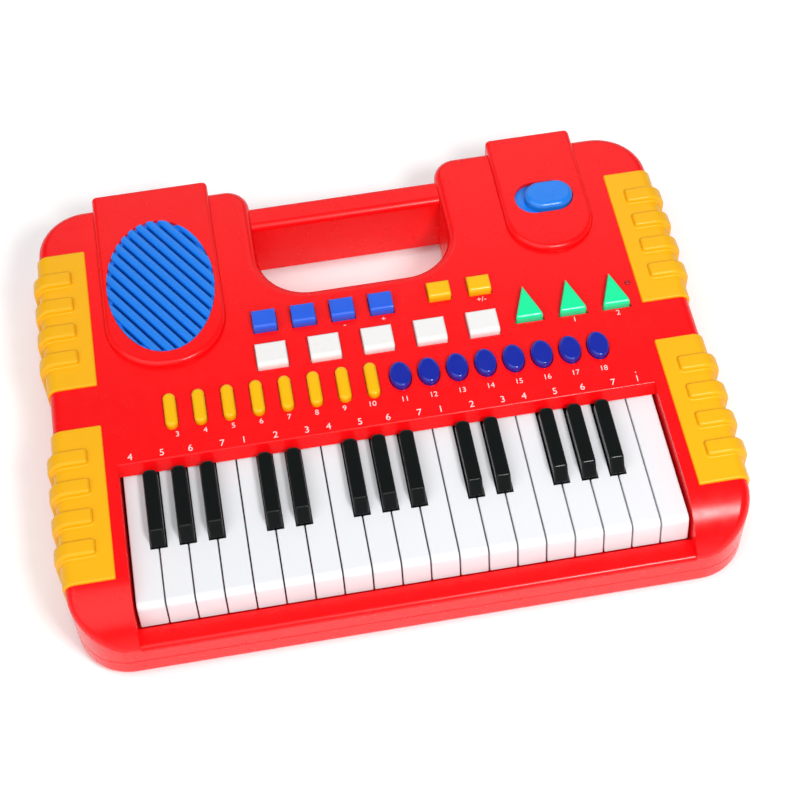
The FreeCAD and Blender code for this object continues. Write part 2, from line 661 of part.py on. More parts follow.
def case_hollow(body):
    """Hollows of the upper half, its screw bosses and the posts for the circuit board."""
    rear = new_sketch(body, "XY_Plane", S.parting_height)
    side, back = CASE_SIDE - S.wall, CASE_REAR - S.wall
    half, foot = S.notch_width / 2 + S.wall, CASE_REAR - S.notch_depth - S.wall
    corner, lobe, bend = S.corner_radius - S.wall, S.lobe_round - S.wall, S.notch_round + S.wall
    rounded(rear, [(-side, TAIL_END, ZERO), (side, TAIL_END, ZERO), (side, back, corner),
                   (half, back, lobe), (half, foot, bend), (-half, foot, bend),
                   (-half, back, lobe), (-side, back, corner)])
    cut(body, rear, CEILING - S.parting_height, flip=True)

    under = new_sketch(body, "XY_Plane", S.parting_height)
    front = CASE_FRONT + S.wall
    rounded(under, [(-side, front, corner), (side, front, corner), (side, TAIL_END, ZERO),
                    (-side, TAIL_END, ZERO)])
    cut(body, under, S.tray_floor - S.tray_thick - S.parting_height, flip=True)

    cheeks = new_sketch(body, "XY_Plane", S.parting_height)
    inner = RECESS_HALF + S.wall
    for sign in (-1, 1):
        rectangle(cheeks, (inner + side) / 2 * sign, (CASE_FRONT + S.cheek_run + TAIL_END) / 2,
                  side - inner, TAIL_END - CASE_FRONT - S.cheek_run)
    cut(body, cheeks, CEILING - S.parting_height, flip=True)

    bosses = new_sketch(body, "XY_Plane", S.parting_height)
    for x, y in BOSS_PLACES:
        circle(bosses, x, y, S.boss_radius)
    pad(body, bosses, CEILING - S.parting_height)
    holes = new_sketch(body, "XY_Plane", S.parting_height)
    for x, y in BOSS_PLACES:
        circle(holes, x, y, S.screw_radius + S.screw_fit / 2)
    cut(body, holes, S.screw_reach + S.screw_fit, flip=True)

    posts = new_sketch(body, "XY_Plane", BOARD_TOP)
    for x, y in BOARD_POSTS:
        circle(posts, x, y, S.board_post_radius)
    pad(body, posts, S.board_drop)


def panel_openings(body):
    """Openings for the buttons, the grille and the switch."""
    depth = S.tongue_rise + S.wall + S.overrun / 10
    for _, count, pitch, middle, y, _, draw in BUTTONS:
        holes = new_sketch(body, "XY_Plane", TONGUE_TOP)
        for x in row(middle, pitch, count):
            draw(holes, x, KEYS_BACK + y, S.button_fit)
        cut(body, holes, depth)
    songs = new_sketch(body, "XY_Plane", TONGUE_TOP)
    for index, x in enumerate(SONG_PLACES):
        draw = pill_button if index < PILLS else oval_button
        draw(songs, x, SONG_Y, S.button_fit)
    circle(songs, S.lamp_x, KEYS_BACK + S.lamp_y, S.lamp_radius)
    cut(body, songs, depth)

    mouth = new_sketch(body, "XY_Plane", TONGUE_TOP)
    mouth.setExpression("AttachmentOffset.Base.x", (-S.grille_x).formula)
    mouth.setExpression("AttachmentOffset.Base.y", (KEYS_BACK + S.grille_y).formula)
    ellipse(mouth, S.grille_width + S.grille_fit * 2, S.grille_length + S.grille_fit * 2)
    cut(body, mouth, depth)

    well = new_sketch(body, "XY_Plane", TONGUE_TOP)
    stadium(well, S.switch_x, KEYS_BACK + S.switch_y, S.switch_recess_width, S.switch_recess_depth)
    cut(body, well, depth)
    pocket = new_sketch(body, "XY_Plane", CEILING)
    rectangle(pocket, S.switch_x, KEYS_BACK + S.switch_y, SKIRT_WIDTH + S.switch_travel + S.button_fit * 2,
              SKIRT_DEPTH + S.button_fit * 2)
    cut(body, pocket, TONGUE_TOP - S.wall - CEILING, flip=True)


def bumper_seats(body):
    """Shallow seats for the bumpers, over the top edge and down the sides of the case."""
    inner = CASE_SIDE - S.bumper_width
    floor, flank = S.panel_height - S.bumper_seat, CASE_SIDE - S.bumper_seat
    bend = S.edge_round - S.bumper_seat
    high, wide = S.panel_height + S.overrun, CASE_SIDE + S.overrun
    for front in BUMPER_FRONTS:
        seats = new_sketch(body, "XZ_Plane", -(front - S.bumper_fit))
        rounded(seats, [(inner, floor, ZERO), (flank, floor, bend), (flank, S.bumper_skirt, ZERO),
                        (wide, S.bumper_skirt, ZERO), (wide, high, ZERO), (inner, high, ZERO)])
        rounded(seats, [(-inner, floor, ZERO), (-inner, high, ZERO), (-wide, high, ZERO),
                        (-wide, S.bumper_skirt, ZERO), (-flank, S.bumper_skirt, ZERO), (-flank, floor, bend)])
        cut(body, seats, S.bumper_length + S.bumper_fit * 2)


def bottom_case():
    """Lower half of the case: tray, feet, battery bay, screw bosses and the lower half of the handle."""
    body = new_body("bottom_case")
    plan = new_sketch(body, "XY_Plane", S.foot_height)
    case_plan(plan, ZERO, CASE_FRONT)
    pad(body, plan, S.parting_height - S.foot_height)
    soften(body, S.base_round, lambda edge: level_at(edge, S.foot_height))
    soften(body, S.seam_round, lambda edge: level_at(edge, S.parting_height))
    floor = S.foot_height + S.wall
    tray = new_sketch(body, "XY_Plane", S.parting_height)
    case_plan(tray, S.wall * 2, CASE_FRONT + S.wall * 2)
    cut(body, tray, S.parting_height - floor)

    bosses = new_sketch(body, "XY_Plane", S.foot_height)
    for x, y in BOSS_PLACES:
        circle(bosses, x, y, S.boss_radius)
    pad(body, bosses, S.parting_height - S.foot_height)
    seat = S.parting_height - S.screw_web
    for bare, height in ((S.screw_head_radius, seat), (S.screw_radius, S.parting_height)):
        holes = new_sketch(body, "XY_Plane", S.foot_height)
        for x, y in BOSS_PLACES:
            circle(holes, x, y, bare + S.screw_fit)
        cut(body, holes, height - S.foot_height, flip=True)

    bay = new_sketch(body, "XY_Plane", S.foot_height)
    rectangle(bay, S.bay_x, S.bay_y, S.bay_width + S.wall * 2, S.bay_length + S.wall * 2)
    pad(body, bay, S.bay_height - S.foot_height)
    cells = new_sketch(body, "XY_Plane", S.foot_height)
    rectangle(cells, S.bay_x, S.bay_y, S.bay_width, S.bay_length)
    cut(body, cells, S.bay_height - S.wall - S.foot_height, flip=True)
    rebate = new_sketch(body, "XY_Plane", S.foot_height)
    rectangle(rebate, S.bay_x, S.bay_y, S.bay_width + S.door_lap * 2, S.bay_length + S.door_lap * 2)
    cut(body, rebate, S.door_thick, flip=True)

    feet = new_sketch(body, "XY_Plane", ZERO)
    for x in (-(CASE_SIDE - S.foot_inset), CASE_SIDE - S.foot_inset):
        for y in (CASE_FRONT + S.foot_inset, CASE_REAR - S.foot_inset):
            circle(feet, x, y, S.foot_radius)
    pad(body, feet, S.foot_height)

    bar = new_sketch(body, "YZ_Plane")
    bar_section(bar, S.bar_foot, S.bar_parting, ZERO)
    pad(body, bar, S.notch_width, both_ways=True)
    return body


def battery_door():
    """Screwed plate that closes the battery bay from below, with finger grooves."""
    body = new_body("battery_door")
    plate = new_sketch(body, "XY_Plane", S.foot_height)
    play = (S.door_lap - S.door_fit) * 2
    rectangle(plate, S.bay_x, S.bay_y, S.bay_width + play, S.bay_length + play)
    pad(body, plate, S.door_thick)
    grooves = new_sketch(body, "XY_Plane", S.foot_height)
    for y in row(S.bay_y - S.bay_length / 4, S.door_groove_pitch, DOOR_GROOVES):
        rectangle(grooves, S.bay_x, y, S.door_groove_length, S.door_groove_width)
    cut(body, grooves, S.door_groove_depth, flip=True)
    return body


def case_screws():
    """Six screws that clamp the case halves from below, as one group."""
    screws = []
    seat = S.parting_height - S.screw_web
    for x, y in BOSS_PLACES:
        shank = DOC.addObject("Part::Cylinder", "Shank")
        shank.setExpression("Radius", S.screw_radius.formula)
        shank.setExpression("Height", (S.screw_web + S.screw_reach).formula)
        put(shank, x, y, seat)
        head = DOC.addObject("Part::Cylinder", "Head")
        head.setExpression("Radius", S.screw_head_radius.formula)
        head.setExpression("Height", S.screw_head_thick.formula)
        put(head, x, y, seat - S.screw_head_thick)
        screw = DOC.addObject("Part::Fuse", "Screw")
        screw.Base, screw.Tool = shank, head
        screws.append(screw)
    group = DOC.addObject("Part::Compound", "case_screws")
    group.Links = screws
    group.Label = "case_screws"
    return group


def bumper(front):
    """A yellow bumper on the right side: an L-shaped shell with rounded ribs across it."""
    body = DOC.addObject("PartDesign::Body", "Bumper")
    inner, outer = CASE_SIDE - S.bumper_width, CASE_SIDE + S.bumper_proud
    floor, top = S.panel_height - S.bumper_seat, S.panel_height + S.bumper_proud
    flank = CASE_SIDE - S.bumper_seat
    inner_bend, outer_bend = S.edge_round - S.bumper_seat, S.edge_round + S.bumper_proud
    shell = new_sketch(body, "XZ_Plane", -front)
    rounded(shell, [(inner, floor, ZERO), (flank, floor, inner_bend), (flank, S.bumper_skirt, ZERO),
                    (outer, S.bumper_skirt, ZERO), (outer, top, outer_bend), (inner, top, ZERO)])
    pad(body, shell, S.bumper_length, flip=True)
    spread = S.rib_pitch * (RIBS - 1)
    first_rib = front + (S.bumper_length - spread - S.rib_width) / 2
    rib = new_sketch(body, "XZ_Plane", -first_rib)
    ridge, crest = outer + S.rib_rise, top + S.rib_rise
    heel = inner + S.rib_inset
    rounded(rib, [(heel, floor, ZERO), (flank, floor, inner_bend), (flank, S.rib_skirt, ZERO),
                  (ridge, S.rib_skirt, ZERO), (ridge, crest, outer_bend + S.rib_rise), (heel, crest, ZERO)])
    first = pad(body, rib, S.rib_width, flip=True)
    ribs = body.newObject("PartDesign::LinearPattern", "Ribs")
    ribs.Originals = [first]
    along = next(item for item in body.Origin.OriginFeatures if item.Role == "Y_Axis")
    ribs.Direction = (along, [""])
    ribs.setExpression("Length", spread.formula)
    ribs.Occurrences = RIBS
    body.Tip = ribs

    def crest_edge(edge):
        return edge.BoundBox.ZMax > top.value + NEAR or edge.BoundBox.XMax > outer.value + NEAR

    def outer_edge(edge):
        return near(edge.BoundBox.ZMax, top.value) or near(edge.BoundBox.XMax, outer.value)

    def inside_ends(edge):
        box = edge.BoundBox
        return box.YMin > front.value + NEAR and box.YMax < (front + S.bumper_length).value - NEAR

    def rim_edge(edge):
        box = edge.BoundBox
        across = box.YLength < NEAR and not inside_ends(edge)
        heel_side = near(box.XMax, inner.value)
        foot_side = near(box.ZMax, S.bumper_skirt.value)
        return outer_edge(edge) and (across or heel_side or foot_side)

    soften(body, S.rib_round, crest_edge)
    soften(body, S.rib_foot_round, lambda edge: outer_edge(edge) and inside_ends(edge))
    soften(body, S.bumper_round, rim_edge)
    return body


def bumpers():
    """Two bumpers on each side of the case, the left ones as mirror images."""
    right = DOC.addObject("Part::Compound", "right_bumpers")
    right.Links = [bumper(front) for front in BUMPER_FRONTS]
    right.Label = "right_bumpers"
    left = DOC.addObject("Part::Mirroring", "left_bumpers")
    left.Source = right
    left.Base = FreeCAD.Vector(0, 0, 0)
    left.Normal = FreeCAD.Vector(1, 0, 0)
    left.Label = "left_bumpers"
    return [left, right]


def speaker_grille():
    """Oval insert of slanting slats, held by a flange under the panel.

    The slats are drawn upright and the oval slanted, and the whole insert is then turned.
    """
    body = new_body("speaker_grille")
    body.AllowCompound = True
    turn = (S.slat_angle - 180) * -1
    top = TONGUE_TOP + S.grille_proud
    foot = top - S.slat_height
    slats = new_sketch(body, "XZ_Plane")
    for x in row(ZERO, S.slat_pitch, SLATS):
        left, right = x - S.slat_width / 2, x + S.slat_width / 2
        rounded(slats, [(left, foot, ZERO), (right, foot, ZERO), (right, top, S.slat_round),
                        (left, top, S.slat_round)])
    pad(body, slats, S.grille_length + S.overrun, both_ways=True)
    trim = new_sketch(body, "XY_Plane", top)
    rectangle(trim, ZERO, ZERO, S.grille_length * 2, S.grille_length * 2)
    ellipse(trim, S.grille_width, S.grille_length, turn)
    cut(body, trim, S.slat_height)
    mouth = S.grille_rim * 2
    rim_foot = CEILING - S.grille_flange_thick
    for grow, height in ((ZERO, TONGUE_TOP - S.grille_rim_drop), (S.grille_flange * 2, CEILING)):
        ring = new_sketch(body, "XY_Plane", rim_foot)
        ellipse(ring, S.grille_width + grow, S.grille_length + grow, turn)
        ellipse(ring, S.grille_width - mouth, S.grille_length - mouth, turn)
        pad(body, ring, height - rim_foot)
    put(body, -S.grille_x, KEYS_BACK + S.grille_y)
    body.Placement.Rotation = FreeCAD.Rotation(FreeCAD.Vector(0, 0, 1), S.slat_angle.value - 90)
    return body


def speaker():
    """Loudspeaker under the grille: rim, paper cone, basket and magnet, turned about its axis."""
    body = new_body("speaker")
    section = new_sketch(body, "XZ_Plane")
    rim = S.speaker_radius - S.speaker_rim
    outline(section, [(ZERO, -S.cone_depth), (S.magnet_radius / 2, -S.cone_depth), (rim, ZERO),
                      (S.speaker_radius, ZERO), (S.speaker_radius, -S.speaker_rim_thick),
                      (rim, -S.speaker_rim_thick), (S.magnet_radius, S.magnet_thick - S.speaker_depth),
                      (S.magnet_radius, -S.speaker_depth), (ZERO, -S.speaker_depth)])
    turned = body.newObject("PartDesign::Revolution", "Turned")
    turned.Profile = section
    turned.ReferenceAxis = (section, ["V_Axis"])
    put(body, -S.grille_x, KEYS_BACK + S.grille_y, CEILING - S.grille_flange_thick)
    return body


def circuit_board():
    """Board under the buttons, stepped around the loudspeaker."""
    body = new_body("circuit_board")
    plan = new_sketch(body, "XY_Plane", BOARD_TOP - S.board_thick)
    front, step, rear = KEYS_BACK + S.board_front, KEYS_BACK + S.board_step_y, KEYS_BACK + S.board_rear
    outline(plan, [(-S.board_left, front), (S.board_right, front), (S.board_right, rear),
                   (-S.board_step_x, rear), (-S.board_step_x, step), (-S.board_left, step)])
    pad(body, plan, S.board_thick)
    return body


def key_places():
    """Middle of each white key, and middle of each black key at the slit that it covers."""
    whites = row(ZERO, S.key_pitch, WHITE_KEYS)
    sharps = [index for index in range(WHITE_KEYS - 1) if index % KEYS_PER_OCTAVE in SHARP_AFTER]
    return whites, sharps


def contact_strip():
    """Rubber strip on the floor of the key recess, with a dome under every key."""
    body = new_body("contact_strip")
    middle = KEYS_BACK - S.strip_y
    base = new_sketch(body, "XY_Plane", S.tray_floor)
    rectangle(base, ZERO, middle, S.key_pitch * WHITE_KEYS, S.strip_depth)
    pad(body, base, S.strip_thick)
    domes = new_sketch(body, "XY_Plane", S.tray_floor + S.strip_thick)
    for x in key_places()[0]:
        circle(domes, x, middle, S.dome_radius)
    grown = pad(body, domes, S.dome_height)
    grown.setExpression("TaperAngle", (S.dome_draft * -1).formula)
    return body


def key_pivot_rod():
    """Steel rod that all the keys turn on, held at its ends in the case."""
    rod = DOC.addObject("Part::Cylinder", "key_pivot_rod")
    rod.Label = "key_pivot_rod"
    half = RECESS_HALF + S.rod_bite
    rod.setExpression("Radius", S.rod_radius.formula)
    rod.setExpression("Height", (half * 2).formula)
    rod.Placement.Rotation = FreeCAD.Rotation(FreeCAD.Vector(0, 1, 0), 90)
    put(rod, -half, PIVOT_Y, PIVOT_Z)
    return rod


def knuckle(body, x):
    """Round knuckle of a key on the pivot rod, with its hole."""
    ring = new_sketch(body, "YZ_Plane", x)
    circle(ring, PIVOT_Y, PIVOT_Z, S.knuckle_radius)
    pad(body, ring, S.knuckle_width, both_ways=True)
    hole = new_sketch(body, "YZ_Plane")
    circle(hole, PIVOT_Y, PIVOT_Z, S.rod_radius + S.rod_fit)
    cut(body, hole, S.key_pitch * 2, both_ways=True)


def white_key(number, place, sharp_left, sharp_right):
    """A white key with its front face, the slots beside black keys, a hollow and a knuckle."""
    body = new_body(f"white_key_{number:02d}")
    half = (S.key_pitch - S.key_gap) / 2
    under = S.white_top - S.white_thick
    side = new_sketch(body, "YZ_Plane")
    toe = KEYS_FRONT - S.lip_slant
    outline(side, [(toe, S.white_top - S.lip_drop), (toe + S.lip_thick, S.white_top - S.lip_drop),
                   (KEYS_FRONT + S.lip_thick, under), (PIVOT_Y, under), (PIVOT_Y, S.white_top),
                   (KEYS_FRONT, S.white_top)])
    pad(body, side, half * 2, both_ways=True)

    slot = S.key_pitch / 2 - S.black_width / 2 - S.black_gap
    slot_front = KEYS_BACK - S.black_length - S.black_gap
    left, right = -half, half
    if sharp_left or sharp_right:
        slots = new_sketch(body, "XY_Plane", S.white_top)
        for sign, wanted in ((-1, sharp_left), (1, sharp_right)):
            if wanted:
                rectangle(slots, (slot + S.key_pitch) / 2 * sign, (slot_front + PIVOT_Y + S.overrun) / 2,
                          S.key_pitch - slot, PIVOT_Y + S.overrun - slot_front)
        cut(body, slots, S.white_thick)
        left = -slot if sharp_left else left
        right = slot if sharp_right else right

    hollow = new_sketch(body, "XY_Plane", under)
    hollow_front, hollow_rear = KEYS_FRONT + S.lip_thick + S.hollow_wall, slot_front - S.hollow_wall
    rectangle(hollow, ZERO, (hollow_front + hollow_rear) / 2,
              (half - S.hollow_wall) * 2, hollow_rear - hollow_front)
    cut(body, hollow, S.hollow_depth, flip=True)
    knuckle(body, (left + right) / 2)

    def bend_edge(edge):
        return level_at(edge, S.white_top) and near(edge.BoundBox.YMax, KEYS_FRONT.value)

    soften(body, S.white_bend, bend_edge)

    def played_edge(edge):
        box = edge.BoundBox
        flank = near(abs(box.XMin), half.value) and near(box.XMin, box.XMax)
        return flank and level_at(edge, S.white_top) and box.YMin < slot_front.value - NEAR

    soften(body, S.white_round, played_edge)
    put(body, place)
    return body


def black_key(number, place):
    """A black key with a leaning front, a round back end and a tail that reaches the pivot rod."""
    body = new_body(f"black_key_{number:02d}")
    top, front = S.white_top + S.black_rise, KEYS_BACK - S.black_length
    under = S.white_top - S.black_thick
    side = new_sketch(body, "YZ_Plane")
    outline(side, [(front, under), (PIVOT_Y, under), (PIVOT_Y, S.white_top), (KEYS_BACK, S.white_top),
                   (KEYS_BACK, top), (front + S.black_slant, top), (front, S.white_top + S.black_toe)])
    pad(body, side, S.black_width, both_ways=True)

    def back_corner(edge):
        box = edge.BoundBox
        upright = box.XLength < NEAR and box.YLength < NEAR
        return upright and near(box.YMin, KEYS_BACK.value) and box.ZMin > under.value + NEAR

    soften(body, S.black_back_round, back_corner)

    def top_edge(edge):
        box = edge.BoundBox
        return box.ZMax > top.value - NEAR and box.ZMin > S.white_top.value + NEAR

    soften(body, S.black_round, top_edge)
    knuckle(body, ZERO)
    put(body, place)
    return body


def push_button(label, x, y, rise, draw):
    """A button that slides in the panel: cap, foot and the flange that keeps it in."""
    body = new_body(label)
    foot = FLANGE_FOOT - S.stem_drop
    top = S.panel_height + rise
    cap = new_sketch(body, "XY_Plane", foot)
    draw(cap, ZERO, ZERO, ZERO)
    pad(body, cap, top - foot)
    flange = new_sketch(body, "XY_Plane", FLANGE_FOOT)
    draw(flange, ZERO, ZERO, S.flange_over)
    pad(body, flange, S.flange_thick)
    DOC.recompute()
    front = min(edge.BoundBox.YMin for edge in body.Tip.Shape.Edges if level_at(edge, top))

    def front_edge(edge):
        return level_at(edge, top) and near(edge.BoundBox.YMax, front)

    def other_edge(edge):
        box = edge.BoundBox
        rolled = box.YLength < NEAR and box.YMax < front + S.button_front_round.value + NEAR
        return level_at(edge, top) and not rolled

    soften(body, S.button_front_round, front_edge)
    soften(body, S.button_round, other_edge)
    put(body, x, y)
    return body


def song_buttons(label, places, width, length, draw, radius):
    """A row of song buttons moulded on one springy strip behind the panel."""
    body = new_body(label)
    strip = new_sketch(body, "XY_Plane", FLANGE_FOOT)
    over = S.flange_over * 2
    first, last = places[0], places[-1]
    rectangle(strip, (first + last) / 2, SONG_Y, last - first + width + over, length + over)
    pad(body, strip, S.flange_thick)
    top = S.panel_height + S.song_rise
    caps = new_sketch(body, "XY_Plane", FLANGE_FOOT)
    for x in places:
        draw(caps, x, SONG_Y, ZERO)
    pad(body, caps, top - FLANGE_FOOT)
    soften(body, radius, lambda edge: level_at(edge, top))
    return body


def mode_switch():
    """Slide switch: a domed knob in an oval hole, on a skirt that fills the hole from below."""
    body = new_body("mode_switch")
    top = TONGUE_TOP + S.knob_rise
    foot = TONGUE_TOP - S.wall - S.flange_play - S.flange_thick
    knob = new_sketch(body, "XY_Plane", foot)
    stadium(knob, ZERO, ZERO, S.knob_width, S.knob_depth)
    pad(body, knob, top - foot)
    skirt = new_sketch(body, "XY_Plane", foot)
    rectangle(skirt, ZERO, ZERO, SKIRT_WIDTH, SKIRT_DEPTH)
    pad(body, skirt, S.flange_thick)
    soften(body, S.knob_round, lambda edge: level_at(edge, top))
    put(body, S.switch_x + S.switch_travel / 2, KEYS_BACK + S.switch_y)
    return body


def keyboard():
    """All the keys, from the lowest white key to the highest."""
    whites, sharps = key_places()
    keys = [white_key(index + 1, place, index - 1 in sharps, index in sharps)
            for index, place in enumerate(whites)]
    keys += [black_key(number, (whites[index] + whites[index + 1]) / 2)
             for number, index in enumerate(sharps, 1)]
    return keys


def buttons():
    """The push buttons, the two strips of song buttons and the slide switch."""
    pieces = []
    for label, count, pitch, middle, y, rise, draw in BUTTONS:
        for number, x in enumerate(row(middle, pitch, count), 1):
            pieces.append(push_button(f"{label}_{number}", x, KEYS_BACK + y, rise, draw))
    pieces.append(song_buttons("pill_button_strip", SONG_PLACES[:PILLS], S.pill_width, S.pill_length,
                               pill_button, S.pill_round))
    pieces.append(song_buttons("oval_button_strip", SONG_PLACES[PILLS:], S.oval_width, S.oval_length,
                               oval_button, S.oval_round))
    pieces.append(mode_switch())
    return pieces


def main():
    pieces = [top_case(), bottom_case(), battery_door(), case_screws(), *bumpers(), speaker_grille(),
              speaker(), circuit_board(), contact_strip(), key_pivot_rod(), *keyboard(), *buttons()]
    DOC.recompute()
    failed = [item.Label for item in DOC.Objects if "Invalid" in item.State or "Error" in item.State]
    failed += [item.Label for item in pieces if item.Shape.isNull() or not item.Shape.isValid()]
    if failed:
        raise RuntimeError("these did not build: " + ", ".join(failed))
    os.makedirs("parts", exist_ok=True)
    for item in pieces:
        item.Shape.exportStep(f"parts/{item.Label}.step")
    print(len(pieces), "pieces written")


main()
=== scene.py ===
"""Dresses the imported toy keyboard: moulded plastics, printed numerals, a pale studio and the camera."""

import math

import bpy
import numpy as np
from bpy.props import FloatProperty, PointerProperty, StringProperty
from mathutils import Matrix, Vector


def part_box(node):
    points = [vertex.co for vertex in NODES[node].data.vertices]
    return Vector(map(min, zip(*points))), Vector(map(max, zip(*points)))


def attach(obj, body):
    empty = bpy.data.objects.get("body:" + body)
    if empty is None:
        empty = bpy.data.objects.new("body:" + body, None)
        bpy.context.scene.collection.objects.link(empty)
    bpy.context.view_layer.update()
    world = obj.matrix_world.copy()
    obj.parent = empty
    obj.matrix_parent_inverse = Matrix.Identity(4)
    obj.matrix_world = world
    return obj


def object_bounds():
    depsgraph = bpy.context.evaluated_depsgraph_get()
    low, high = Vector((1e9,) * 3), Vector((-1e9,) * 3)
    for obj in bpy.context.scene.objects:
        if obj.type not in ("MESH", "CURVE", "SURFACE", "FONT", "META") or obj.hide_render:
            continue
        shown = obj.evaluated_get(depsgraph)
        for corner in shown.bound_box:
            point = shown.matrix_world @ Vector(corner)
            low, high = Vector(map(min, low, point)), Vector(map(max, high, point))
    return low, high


bl_info = {
    "name": "Toy Keyboard Dresser",
    "version": (1, 0, 0),
    "blender": (4, 5, 0),
    "location": "3D View > Sidebar > Keyboard",
    "description": "Gives a packed toy keyboard its plastics, printed numerals and studio",
    "category": "Object",
}

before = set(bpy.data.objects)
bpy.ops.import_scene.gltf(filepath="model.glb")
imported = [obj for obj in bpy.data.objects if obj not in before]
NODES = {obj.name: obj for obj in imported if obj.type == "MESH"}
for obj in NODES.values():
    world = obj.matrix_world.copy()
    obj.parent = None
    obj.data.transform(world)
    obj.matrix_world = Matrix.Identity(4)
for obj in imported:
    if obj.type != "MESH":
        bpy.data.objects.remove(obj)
CAD_BOX = [list(corner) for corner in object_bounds()]
MM = 0.001
WHITE = (1.0, 1.0, 1.0, 1.0)
WHITE_KEYS = sorted(name for name in NODES if name.startswith("white_key_"))
BLACK_KEYS = sorted(name for name in NODES if name.startswith("black_key_"))

# The white keys are numbered as a scale, 1 to 7 and again from 1. The lowest key is a 4.
NUMERALS = 7
FIRST_NUMERAL = 4
# Rise of the dot that marks the higher octave over the foot of its numeral, in numeral heights
DOT_RISE = 1.4
SONGS_PER_STRIP = 8
FIRST_SONG = 3
BUTTON_SIGNS = {"blue_button_3": "-", "blue_button_4": "+", "yellow_button_2": "+/-",
                "green_button_2": "1", "green_button_3": "2"}
# Height of a numeral in the built-in font, for a font size of 1
NUMERAL_SHARE = 0.7

# Lengths over which a moulding's tone and its gloss drift, and how far the gloss does
FLOW = 40 * MM
SMEAR = 9 * MM
NOISE_RANGE = (0.3, 0.7)
GLOSS_DRIFT = (-0.04, 0.05)
GRAIN_STRENGTH = 0.35
ABS_IOR = 1.53
# Length and width of the lines on drawn steel, and its roughness between and on them
LINE_LENGTH = 50 * MM
LINE_WIDTH = 0.5 * MM
STEEL_ROUGHNESS = (0.22, 0.42)

FLOOR_HALF = 6.0
CONTACT_SAMPLES = 2
# Places of the lamps, in metres. Each looks at the middle of the floor.
BOX_PLACE = (0.35, -0.75, 1.05)
SKY_PLACE = (-0.5, -0.5, 1.0)
WINDOW_PLACE = (0.1, 1.02, 0.85)
# Width of the camera's sensor in millimetres, and the start and steps of the search for its distance
SENSOR = 36.0
START_DISTANCE = 1.0
CAMERA_STEPS = 20


class KeyboardColours(bpy.types.PropertyGroup):
    """Colours of the pieces, as sRGB hex values."""
    case: StringProperty(name="Case", description="Red of both case halves", default="#FE0A10")
    bumper: StringProperty(name="Bumpers", description="Warm yellow of the ribbed bumpers", default="#FDB90E")
    grille: StringProperty(name="Grille", description="Sky blue of the grille and switch", default="#1482F0")
    white_key: StringProperty(name="White keys", description="Cool white of the keys", default="#EEEFF2")
    black_key: StringProperty(name="Black keys", description="Near-black of the sharps", default="#0E1312")
    white_button: StringProperty(name="White buttons", description="White of the square buttons",
                                 default="#F2F1EF")
    blue_button: StringProperty(name="Blue buttons", description="Blue of the back row", default="#2462E8")
    yellow_button: StringProperty(name="Yellow buttons", description="Yellow of the small buttons",
                                  default="#FCC00A")
    green_button: StringProperty(name="Green buttons", description="Green of the triangles",
                                 default="#04F4A2")
    oval_button: StringProperty(name="Oval buttons", description="Deep blue of the ovals", default="#0E26A6")
    lamp_lens: StringProperty(name="Indicator", description="Red of the indicator's lens", default="#B4141E")
    print_ink: StringProperty(name="Print", description="Ink of the numerals", default="#F6E4E2")
    cone: StringProperty(name="Loudspeaker", description="Black of the paper cone", default="#141414")
    laminate: StringProperty(name="Board", description="Green of the circuit board", default="#1E5A34")
    rubber: StringProperty(name="Contact strip", description="Grey of the silicone rubber", default="#B8B8B4")
    steel: StringProperty(name="Steel", description="Grey of the rod and screws", default="#B9BBBD")


class KeyboardPrint(bpy.types.PropertyGroup):
    """Sizes of the printed numerals."""
    key_numeral: FloatProperty(name="Key numeral", description="Height of the numerals over the keys",
                               default=4.2 * MM, unit="LENGTH")
    key_margin: FloatProperty(name="Key margin", description="Recess edge to the foot of the numerals",
                              default=2.2 * MM, unit="LENGTH")
    song_numeral: FloatProperty(name="Song numeral", description="Height of the song numbers",
                                default=3.4 * MM, unit="LENGTH")
    button_margin: FloatProperty(name="Button margin", description="Button to the mark below it",
                                 default=1.6 * MM, unit="LENGTH")
    button_flange: FloatProperty(name="Flange", description="Width of a button's hidden flange",
                                 default=2 * MM, unit="LENGTH")
    panel: FloatProperty(name="Panel", description="Height of the panel over the floor",
                         default=54 * MM, unit="LENGTH")
    recess: FloatProperty(name="Recess", description="Rear edge of the key recess, along Y",
                          default=-46 * MM, unit="LENGTH")
    ink_depth: FloatProperty(name="Ink", description="How far the ink stands out and soaks in",
                             default=0.06 * MM, unit="LENGTH")


class KeyboardIndicator(bpy.types.PropertyGroup):
    """Place and sizes of the indicator's lens."""
    x: FloatProperty(name="X", description="Place of the lens, side to side", default=155 * MM, unit="LENGTH")
    y: FloatProperty(name="Y", description="Place of the lens, front to back", default=26 * MM, unit="LENGTH")
    radius: FloatProperty(name="Radius", description="Radius of the lens", default=1.76 * MM, unit="LENGTH")
    shank: FloatProperty(name="Shank", description="Length of the lens below the panel's top",
                         default=2.4 * MM, unit="LENGTH")
    dome: FloatProperty(name="Dome", description="Height of the lens over the panel",
                        default=1.1 * MM, unit="LENGTH")


